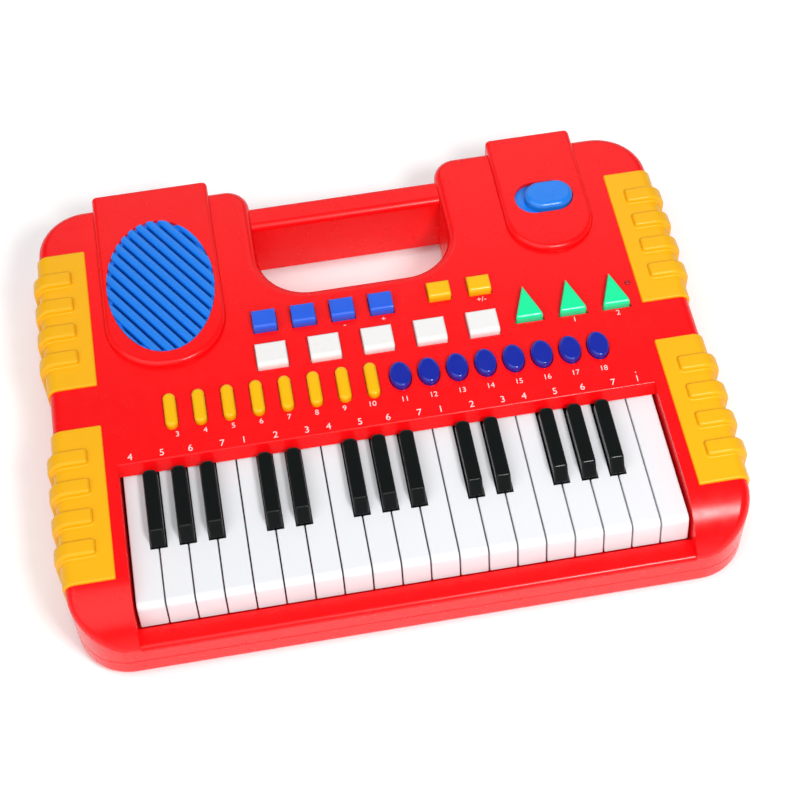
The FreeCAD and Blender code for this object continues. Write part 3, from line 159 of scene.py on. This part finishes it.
class KeyboardStudio(bpy.types.PropertyGroup):
    """Camera, floor, room and lamps."""
    azimuth: FloatProperty(name="Azimuth", description="Camera's turn to the left of the front",
                           default=math.radians(8.2), subtype="ANGLE")
    elevation: FloatProperty(name="Elevation", description="Camera's height over the floor, as an angle",
                             default=math.radians(56), subtype="ANGLE")
    roll: FloatProperty(name="Roll", description="Camera's turn about its line of sight",
                        default=math.radians(-2), subtype="ANGLE")
    lens: FloatProperty(name="Lens", description="Focal length of the camera", default=81,
                        subtype="DISTANCE_CAMERA")
    fill: FloatProperty(name="Fill", description="Share of the picture that the keyboard fills",
                        default=0.94, subtype="FACTOR")
    floor: StringProperty(name="Floor", description="Colour of the floor", default="#F4F4F4")
    floor_glow: FloatProperty(name="Floor glow", description="Light that lifts the seen floor to white",
                              default=0.22, subtype="UNSIGNED")
    contact: FloatProperty(name="Contact", description="Gap under the case over which that light comes back",
                           default=0.02, unit="LENGTH")
    fade_start: FloatProperty(name="Fade start", description="Distance at which the floor begins to whiten",
                              default=0.35, unit="LENGTH")
    fade_end: FloatProperty(name="Fade end", description="Distance from which the floor is plain white",
                            default=0.9, unit="LENGTH")
    world: FloatProperty(name="Room light", description="Strength of the light from all round", default=0.2,
                         subtype="UNSIGNED")
    wall_top: FloatProperty(name="Wall", description="Angle up to which reflections see the white wall",
                            default=math.radians(3), subtype="ANGLE")
    ceiling: FloatProperty(name="Ceiling", description="Angle from which they see the dimmer ceiling",
                           default=math.radians(22), subtype="ANGLE")
    key_power: FloatProperty(name="Main lamp", description="Power of the soft box", default=9.5, unit="POWER")
    key_size: FloatProperty(name="Main lamp size", description="Side of the soft box", default=0.28,
                            unit="LENGTH")
    window_power: FloatProperty(name="Window", description="Power of the wide, dim light from behind",
                                default=1.8, unit="POWER")
    window_width: FloatProperty(name="Window width", description="Width of that light", default=1.2,
                                unit="LENGTH")
    window_height: FloatProperty(name="Window height", description="Height of that light", default=0.55,
                                 unit="LENGTH")
    sky_power: FloatProperty(name="Sky", description="Strength of the wide, even light from the front left",
                             default=1.52, subtype="UNSIGNED")
    sky_angle: FloatProperty(name="Sky angle", description="How wide that light is", default=math.radians(70),
                             subtype="ANGLE")


def linear(colour):
    """Linear RGBA of an sRGB hex value."""
    channels = np.array([int(colour[at:at + 2], 16) for at in (1, 3, 5)]) / 255
    low = channels / 12.92
    high = ((channels + 0.055) / 1.055) ** 2.4
    return (*np.where(channels <= 0.04045, low, high).tolist(), 1.0)


def add_node(tree, kind, sockets=None, **settings):
    """Add a node with its settings. An output given for a socket is linked, any other value is set."""
    node = tree.nodes.new(kind)
    for name, value in settings.items():
        setattr(node, name, value)
    for name, value in (sockets or {}).items():
        if isinstance(value, bpy.types.NodeSocket):
            tree.links.new(value, node.inputs[name])
        else:
            node.inputs[name].default_value = value
    return node


def new_tree(name):
    """A material with an empty node tree."""
    material = bpy.data.materials.new(name)
    material.use_nodes = True
    material.node_tree.nodes.clear()
    return material, material.node_tree


def seen_rays(tree):
    """Two sockets: 1 for the camera's own rays, and 1 for those that it sees reflected or through glass."""
    rays = add_node(tree, "ShaderNodeLightPath").outputs
    passed_on = add_node(tree, "ShaderNodeMath", {0: rays["Is Glossy Ray"], 1: rays["Is Transmission Ray"]},
                         operation="MAXIMUM")
    return rays["Is Camera Ray"], passed_on.outputs["Value"]


def moulded(name, colour, roughness=0.3, grain=0.9 * MM, grain_depth=0.012 * MM, mottle=0.05, shine=0.5):
    """A moulded surface: an even colour, a faint polished-tool grain and slightly uneven gloss.

    The grain of the real tool is near 0.1 mm. It is drawn coarser so that it shows in the highlights.
    The tone drifts by the mottle over the flow length, as the melt does when it runs out from the gate.
    """
    material, tree = new_tree(name)
    place = add_node(tree, "ShaderNodeTexCoord").outputs["Object"]
    flow = add_node(tree, "ShaderNodeTexNoise", {"Vector": place, "Scale": 1 / FLOW, "Detail": 3.0})
    tint = np.array(linear(colour))
    darker = tint * (1 - mottle)
    tone = add_node(tree, "ShaderNodeMix", {
        "Factor": flow.outputs["Fac"], "A": (*darker[:3], 1.0), "B": tuple(tint)}, data_type="RGBA")
    smear = add_node(tree, "ShaderNodeTexNoise", {"Vector": place, "Scale": 1 / SMEAR, "Detail": 4.0})
    gloss = add_node(tree, "ShaderNodeMapRange", {
        "Value": smear.outputs["Fac"], "From Min": NOISE_RANGE[0], "From Max": NOISE_RANGE[1],
        "To Min": roughness + GLOSS_DRIFT[0], "To Max": roughness + GLOSS_DRIFT[1]})
    fine = add_node(tree, "ShaderNodeTexNoise", {"Vector": place, "Scale": 1 / grain, "Detail": 2.0})
    bump = add_node(tree, "ShaderNodeBump", {
        "Height": fine.outputs["Fac"], "Strength": GRAIN_STRENGTH, "Distance": grain_depth})
    shader = add_node(tree, "ShaderNodeBsdfPrincipled", {
        "Base Color": tone.outputs["Result"], "Roughness": gloss.outputs["Result"],
        "Normal": bump.outputs["Normal"], "IOR": ABS_IOR, "Specular IOR Level": shine})
    add_node(tree, "ShaderNodeOutputMaterial", {"Surface": shader.outputs["BSDF"]})
    return material


def drawn_steel(name, colour):
    """Drawn steel wire: a grey metal with fine lines along the X axis."""
    material, tree = new_tree(name)
    place = add_node(tree, "ShaderNodeTexCoord").outputs["Object"]
    along = add_node(tree, "ShaderNodeMapping", {
        "Vector": place, "Scale": (1 / LINE_LENGTH, 1 / LINE_WIDTH, 1 / LINE_WIDTH)})
    lines = add_node(tree, "ShaderNodeTexNoise", {
        "Vector": along.outputs["Vector"], "Scale": 1.0, "Detail": 2.0})
    gloss = add_node(tree, "ShaderNodeMapRange", {
        "Value": lines.outputs["Fac"], "To Min": STEEL_ROUGHNESS[0], "To Max": STEEL_ROUGHNESS[1]})
    shader = add_node(tree, "ShaderNodeBsdfPrincipled", {
        "Base Color": linear(colour), "Metallic": 1.0, "Roughness": gloss.outputs["Result"]})
    add_node(tree, "ShaderNodeOutputMaterial", {"Surface": shader.outputs["BSDF"]})
    return material


def dress(names, material):
    """Give CAD nodes a material."""
    for name in names:
        slots = NODES[name].data.materials
        slots.clear()
        slots.append(material)


def new_piece(name, points, faces, material, body):
    """A mesh piece in the row's frame that moves with a body."""
    mesh = bpy.data.meshes.new(name)
    mesh.from_pydata(points.tolist(), [], faces)
    mesh.validate()
    mesh.materials.append(material)
    piece = bpy.data.objects.new(name, mesh)
    bpy.context.scene.collection.objects.link(piece)
    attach(piece, body)


def raised(flat, faces, depth):
    """Points and faces of a closed plate over a flat outline in the plane z = 0.

    The plate is the outline times the range -depth to depth. Its top has the outline's faces and its
    underside has them reversed. An edge from a to b that only one face has is on the rim, where the wall
    is b, a, and the points under a and b.
    """
    count = len(flat)
    points = np.concatenate([flat + (0, 0, depth), flat - (0, 0, depth)])
    edges = {pair for face in faces for pair in zip(face, face[1:] + face[:1])}
    walls = [[b, a, a + count, b + count] for a, b in sorted(edges) if (b, a) not in edges]
    underside = [[at + count for at in reversed(face)] for face in faces]
    return points, faces + underside + walls


def printed_marks(marks, depth):
    """Points and faces of printed marks, as closed plates.

    Each mark is (text, x, y, height), with its foot centred on (x, y, 0).
    """
    all_points, all_faces, count = [], [], 0
    for text, x, y, height in marks:
        curve = bpy.data.curves.new("mark", "FONT")
        curve.body, curve.align_x, curve.size = text, "CENTER", height / NUMERAL_SHARE
        holder = bpy.data.objects.new("mark", curve)
        mesh = bpy.data.meshes.new_from_object(holder)
        flat = np.array([vertex.co[:] for vertex in mesh.vertices])
        points, faces = raised(flat, [list(face.vertices) for face in mesh.polygons], depth)
        all_points.append(points + (x, y, 0))
        all_faces += [[at + count for at in face] for face in faces]
        count += len(points)
        bpy.data.objects.remove(holder)
        bpy.data.curves.remove(curve)
        bpy.data.meshes.remove(mesh)
    return np.concatenate(all_points), all_faces


def turned_dome(radius, shank, dome, turns=32, rings=8):
    """Points and faces of an upright pin with a domed end, closed at both ends.

    With a the angle about Z and t from 0 to 1 over the dome,
    x = radius cos(pi t / 2) cos(a), y = radius cos(pi t / 2) sin(a), z = dome sin(pi t / 2).
    Below z = 0 the pin is a cylinder that reaches down by the shank.
    """
    around = np.linspace(0, 2 * np.pi, turns, endpoint=False)
    rise = np.linspace(0, np.pi / 2, rings, endpoint=False)
    widths = np.concatenate([[radius], radius * np.cos(rise)])
    heights = np.concatenate([[-shank], dome * np.sin(rise)])
    rows = np.stack([np.outer(widths, np.cos(around)), np.outer(widths, np.sin(around)),
                     np.repeat(heights[:, None], turns, axis=1)], axis=-1)
    points = np.concatenate([rows.reshape(-1, 3), [[0, 0, dome], [0, 0, -shank]]])
    tip, foot, last = len(points) - 2, len(points) - 1, len(widths) - 1
    faces = []
    for at in range(turns):
        after = (at + 1) % turns
        faces += [(row * turns + at, row * turns + after, (row + 1) * turns + after, (row + 1) * turns + at)
                  for row in range(last)]
        faces += [(last * turns + at, last * turns + after, tip), (after, at, foot)]
    return points, faces


def key_back_middle(index):
    """Middle of what shows of a white key between its black neighbours."""
    low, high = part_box(WHITE_KEYS[index])
    sides = [low.x, high.x]
    for name in BLACK_KEYS:
        left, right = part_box(name)
        if left.x < low.x < right.x:
            sides[0] = right.x
        if left.x < high.x < right.x:
            sides[1] = left.x
    return sum(sides) / 2


class KEYBOARD_OT_case(bpy.types.Operator):
    """Give the case, bumpers and grille their plastics"""
    bl_idname = "keyboard.case"
    bl_label = "Case, bumpers and grille"

    def execute(self, context):
        colours = context.scene.keyboard_colours
        dress(("top_case", "bottom_case", "battery_door"),
              moulded("red_moulded_abs", colours.case, roughness=0.24, shine=0.3))
        dress(("left_bumpers", "right_bumpers"),
              moulded("yellow_moulded_abs", colours.bumper, roughness=0.36, shine=0.3))
        dress(("speaker_grille", "mode_switch"),
              moulded("sky_blue_moulded_abs", colours.grille, roughness=0.24))
        return {"FINISHED"}


class KEYBOARD_OT_keys(bpy.types.Operator):
    """Give the keys their plastics"""
    bl_idname = "keyboard.keys"
    bl_label = "Keys"

    def execute(self, context):
        colours = context.scene.keyboard_colours
        dress(WHITE_KEYS,
              moulded("white_polished_abs", colours.white_key, roughness=0.2, mottle=0.02))
        dress(BLACK_KEYS,
              moulded("black_moulded_abs", colours.black_key, roughness=0.16, mottle=0.2, shine=0.25))
        return {"FINISHED"}


class KEYBOARD_OT_buttons(bpy.types.Operator):
    """Give the buttons their plastics"""
    bl_idname = "keyboard.buttons"
    bl_label = "Buttons"

    def execute(self, context):
        colours = context.scene.keyboard_colours
        finishes = {
            "white_button": moulded("white_button_abs", colours.white_button, mottle=0.02),
            "blue_button": moulded("blue_button_abs", colours.blue_button, roughness=0.16),
            "yellow_button": moulded("yellow_button_abs", colours.yellow_button, roughness=0.2, shine=0.3),
            "green_button": moulded("green_button_abs", colours.green_button, roughness=0.24),
            "oval_button": moulded("deep_blue_button_abs", colours.oval_button, roughness=0.16),
        }
        finishes["pill_button"] = finishes["yellow_button"]
        for start, material in finishes.items():
            dress([name for name in NODES if name.startswith(start)], material)
        return {"FINISHED"}


class KEYBOARD_OT_inside(bpy.types.Operator):
    """Give the inner pieces their materials"""
    bl_idname = "keyboard.inside"
    bl_label = "Inner pieces"

    def execute(self, context):
        colours = context.scene.keyboard_colours
        dress(("case_screws", "key_pivot_rod"), drawn_steel("drawn_steel", colours.steel))
        dress(("speaker",), moulded("black_paper_cone", colours.cone, roughness=0.8, grain=1.2 * MM,
                                    grain_depth=0.1 * MM, mottle=0.3))
        dress(("circuit_board",), moulded("green_laminate", colours.laminate, roughness=0.5, mottle=0.2))
        dress(("contact_strip",), moulded("grey_silicone_rubber", colours.rubber, roughness=0.6, mottle=0.1))
        return {"FINISHED"}


class KEYBOARD_OT_indicator(bpy.types.Operator):
    """Set the indicator's lens in its hole in the panel"""
    bl_idname = "keyboard.indicator"
    bl_label = "Indicator"

    def execute(self, context):
        sizes = context.scene.keyboard_indicator
        lens = moulded("red_tinted_epoxy", context.scene.keyboard_colours.lamp_lens, roughness=0.12)
        points, faces = turned_dome(sizes.radius, sizes.shank, sizes.dome)
        panel = context.scene.keyboard_print.panel
        new_piece("indicator_lamp", points + (sizes.x, sizes.y, panel), faces, lens, "case")
        return {"FINISHED"}


class KEYBOARD_OT_numerals(bpy.types.Operator):
    """Print the numerals over the keys and under the buttons"""
    bl_idname = "keyboard.numerals"
    bl_label = "Printed numerals"

    def execute(self, context):
        sizes = context.scene.keyboard_print
        marks = self.key_marks(sizes) + self.song_marks(sizes) + self.button_marks(sizes)
        points, faces = printed_marks(marks, sizes.ink_depth)
        ink = moulded("white_pad_print", context.scene.keyboard_colours.print_ink, roughness=0.5, mottle=0.04)
        new_piece("printed_numerals", points + (0, 0, sizes.panel), faces, ink, "case")
        return {"FINISHED"}

    def key_marks(self, sizes):
        """A numeral behind each white key and the dot over the last one."""
        foot, height = sizes.recess + sizes.key_margin, sizes.key_numeral
        middles = [key_back_middle(index) for index in range(len(WHITE_KEYS))]
        marks = [(str((index + FIRST_NUMERAL - 1) % NUMERALS + 1), x, foot, height)
                 for index, x in enumerate(middles)]
        return marks + [(".", middles[-1], foot + height * DOT_RISE, height)]

    def song_marks(self, sizes):
        """A number in front of each song button, on one line for both strips."""
        height = sizes.song_numeral
        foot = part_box("pill_button_strip")[0].y - height
        marks, first = [], FIRST_SONG
        for strip in ("pill_button_strip", "oval_button_strip"):
            low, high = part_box(strip)
            half_cap = (high.x - low.x) / SONGS_PER_STRIP / 2
            places = np.linspace(low.x + half_cap, high.x - half_cap, SONGS_PER_STRIP)
            marks += [(str(first + at), x, foot, height) for at, x in enumerate(places)]
            first += SONGS_PER_STRIP
        return marks

    def button_marks(self, sizes):
        """The signs in front of the buttons that have one."""
        marks = []
        for name, sign in BUTTON_SIGNS.items():
            low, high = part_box(name)
            foot = low.y + sizes.button_flange - sizes.button_margin - sizes.song_numeral
            marks.append((sign, (low.x + high.x) / 2, foot, sizes.song_numeral))
        return marks


class KEYBOARD_OT_studio(bpy.types.Operator):
    """Make the floor, room, lamps and camera"""
    bl_idname = "keyboard.studio"
    bl_label = "Studio"

    def execute(self, context):
        studio = context.scene.keyboard_studio
        self.floor(studio)
        self.room(studio)
        self.lamps(studio)
        self.camera(context, studio)
        context.scene.view_settings.view_transform = "Standard"
        return {"FINISHED"}

    def floor(self, studio):
        """A large flat floor: it keeps the shadow near the object and turns plain white away from it.

        The white share is (r - fade_start) / (fade_end - fade_start), from 0 to 1, r being the distance
        from the middle. It counts for what the camera sees, straight, in reflections and through glass.
        Near the object a glow lifts the floor to white, except in the narrow gap under the case.
        """
        material, tree = new_tree("pale_studio_floor")
        own, passed_on = seen_rays(tree)
        seen = add_node(tree, "ShaderNodeMath", {0: own, 1: passed_on}, operation="MAXIMUM")
        place = add_node(tree, "ShaderNodeTexCoord").outputs["Object"]
        away = add_node(tree, "ShaderNodeVectorMath", {0: place}, operation="LENGTH")
        share = add_node(tree, "ShaderNodeMapRange", {
            "Value": away.outputs["Value"], "From Min": studio.fade_start, "From Max": studio.fade_end})
        matt = add_node(tree, "ShaderNodeBsdfDiffuse", {"Color": linear(studio.floor)})
        open_sky = add_node(tree, "ShaderNodeAmbientOcclusion", {"Distance": studio.contact},
                            samples=CONTACT_SAMPLES)
        lift = add_node(tree, "ShaderNodeMath", {0: open_sky.outputs["AO"], 1: studio.floor_glow},
                        operation="MULTIPLY")
        glow = add_node(tree, "ShaderNodeEmission", {"Color": WHITE, "Strength": lift.outputs["Value"]})
        plain = add_node(tree, "ShaderNodeEmission", {"Color": WHITE, "Strength": 1.0})
        near = add_node(tree, "ShaderNodeAddShader", {0: matt.outputs["BSDF"], 1: glow.outputs["Emission"]})
        shown = add_node(tree, "ShaderNodeMixShader", {
            0: share.outputs["Result"], 1: near.outputs["Shader"], 2: plain.outputs["Emission"]})
        mixed = add_node(tree, "ShaderNodeMixShader", {
            0: seen.outputs["Value"], 1: matt.outputs["BSDF"], 2: shown.outputs["Shader"]})
        add_node(tree, "ShaderNodeOutputMaterial", {"Surface": mixed.outputs["Shader"]})
        mesh = bpy.data.meshes.new("studio_floor")
        signs = ((-1, -1), (1, -1), (1, 1), (-1, 1))
        mesh.from_pydata([(x * FLOOR_HALF, y * FLOOR_HALF, 0) for x, y in signs], [], [(0, 1, 2, 3)])
        mesh.materials.append(material)
        floor = bpy.data.objects.new("studio_floor", mesh)
        bpy.context.scene.collection.objects.link(floor)

    def room(self, studio):
        """A white room with a dimmer ceiling.

        The camera's own rays see full white. Reflections and glass see white walls up to wall_top, then less
        and less of it up to the ceiling, which has the strength of the room's light.
        """
        world = bpy.data.worlds.new("white_room")
        world.use_nodes = True
        tree = world.node_tree
        tree.nodes.clear()
        own, passed_on = seen_rays(tree)
        place = add_node(tree, "ShaderNodeTexCoord").outputs["Generated"]
        height = add_node(tree, "ShaderNodeSeparateXYZ", {"Vector": place}).outputs["Z"]
        wall = add_node(tree, "ShaderNodeMapRange", {
            "Value": height, "From Min": math.sin(studio.wall_top), "From Max": math.sin(studio.ceiling),
            "To Min": 1.0, "To Max": 0.0})
        mirrored = add_node(tree, "ShaderNodeMath", {0: passed_on, 1: wall.outputs["Result"]},
                            operation="MULTIPLY")
        white = add_node(tree, "ShaderNodeMath", {0: own, 1: mirrored.outputs["Value"]}, operation="MAXIMUM")
        strength = add_node(tree, "ShaderNodeMix", {
            "Factor": white.outputs["Value"], "A": studio.world, "B": 1.0})
        room = add_node(tree, "ShaderNodeBackground", {
            "Color": WHITE, "Strength": strength.outputs["Result"]})
        add_node(tree, "ShaderNodeOutputWorld", {"Surface": room.outputs["Background"]})
        bpy.context.scene.world = world

    def lamps(self, studio):
        """A soft box right of the camera, a window behind and an even sky light from the front left."""
        box = bpy.data.lights.new("soft_box", "AREA")
        box.shape, box.size, box.energy = "SQUARE", studio.key_size, studio.key_power
        window = bpy.data.lights.new("rear_window", "AREA")
        window.shape, window.energy = "RECTANGLE", studio.window_power
        window.size, window.size_y = studio.window_width, studio.window_height
        sky = bpy.data.lights.new("sky_light", "SUN")
        sky.angle, sky.energy = studio.sky_angle, studio.sky_power
        for light, place in ((box, BOX_PLACE), (window, WINDOW_PLACE), (sky, SKY_PLACE)):
            lamp = bpy.data.objects.new(light.name, light)
            lamp.location = place
            lamp.rotation_euler = (-Vector(place)).to_track_quat("-Z", "Y").to_euler()
            bpy.context.scene.collection.objects.link(lamp)

    def camera(self, context, studio):
        """Look along a direction and step back until the object's box fills the square picture."""
        lens = bpy.data.cameras.new("camera")
        lens.lens, lens.sensor_width, lens.sensor_fit = studio.lens, SENSOR, "HORIZONTAL"
        camera = bpy.data.objects.new("camera", lens)
        context.scene.collection.objects.link(camera)
        level = math.cos(studio.elevation)
        back = Vector((-math.sin(studio.azimuth) * level, -math.cos(studio.azimuth) * level,
                       math.sin(studio.elevation)))
        turn = back.to_track_quat("Z", "Y").to_matrix() @ Matrix.Rotation(studio.roll, 3, "Z")
        axes = np.array(turn)
        low, high = (np.array(corner) for corner in CAD_BOX)
        ends = np.array(np.meshgrid(*zip(low, high), indexing="ij")).reshape(3, -1).T
        half_view = SENSOR / studio.lens / 2
        aim, distance = (low + high) / 2, START_DISTANCE
        for _ in range(CAMERA_STEPS):
            seen = (ends - aim) @ axes
            spread = seen[:, :2] / (distance - seen[:, 2:3]) / half_view
            middle, reach = (spread.max(0) + spread.min(0)) / 2, (spread.max(0) - spread.min(0)) / 2
            aim = aim + axes[:, :2] @ middle * half_view * distance
            distance *= reach.max() / studio.fill
        camera.matrix_world = Matrix.Translation(Vector(aim) + back * distance) @ turn.to_4x4()
        context.scene.camera = camera


class KEYBOARD_PT_panel(bpy.types.Panel):
    """Lists the settings and the steps"""
    bl_idname = "KEYBOARD_PT_panel"
    bl_label = "Toy Keyboard"
    bl_space_type = "VIEW_3D"
    bl_region_type = "UI"
    bl_category = "Keyboard"

    def draw(self, context):
        for place in GROUPS:
            group = getattr(context.scene, place)
            box = self.layout.box()
            for name in group.bl_rna.properties.keys():
                if name not in ("rna_type", "name"):
                    box.prop(group, name)
        for operator in OPERATORS:
            self.layout.operator(operator.bl_idname)


GROUPS = {"keyboard_colours": KeyboardColours, "keyboard_print": KeyboardPrint,
          "keyboard_indicator": KeyboardIndicator, "keyboard_studio": KeyboardStudio}
OPERATORS = (KEYBOARD_OT_case, KEYBOARD_OT_keys, KEYBOARD_OT_buttons, KEYBOARD_OT_inside,
             KEYBOARD_OT_indicator, KEYBOARD_OT_numerals, KEYBOARD_OT_studio)
CLASSES = (*GROUPS.values(), *OPERATORS, KEYBOARD_PT_panel)


def register():
    for cls in CLASSES:
        bpy.utils.register_class(cls)
    for name, group in GROUPS.items():
        setattr(bpy.types.Scene, name, PointerProperty(type=group))


def unregister():
    for name in GROUPS:
        delattr(bpy.types.Scene, name)
    for cls in reversed(CLASSES):
        bpy.utils.unregister_class(cls)


def main():
    register()
    bpy.ops.keyboard.case()
    bpy.ops.keyboard.keys()
    bpy.ops.keyboard.buttons()
    bpy.ops.keyboard.inside()
    bpy.ops.keyboard.indicator()
    bpy.ops.keyboard.numerals()
    bpy.ops.keyboard.studio()


if __name__ == "__main__":
    main()
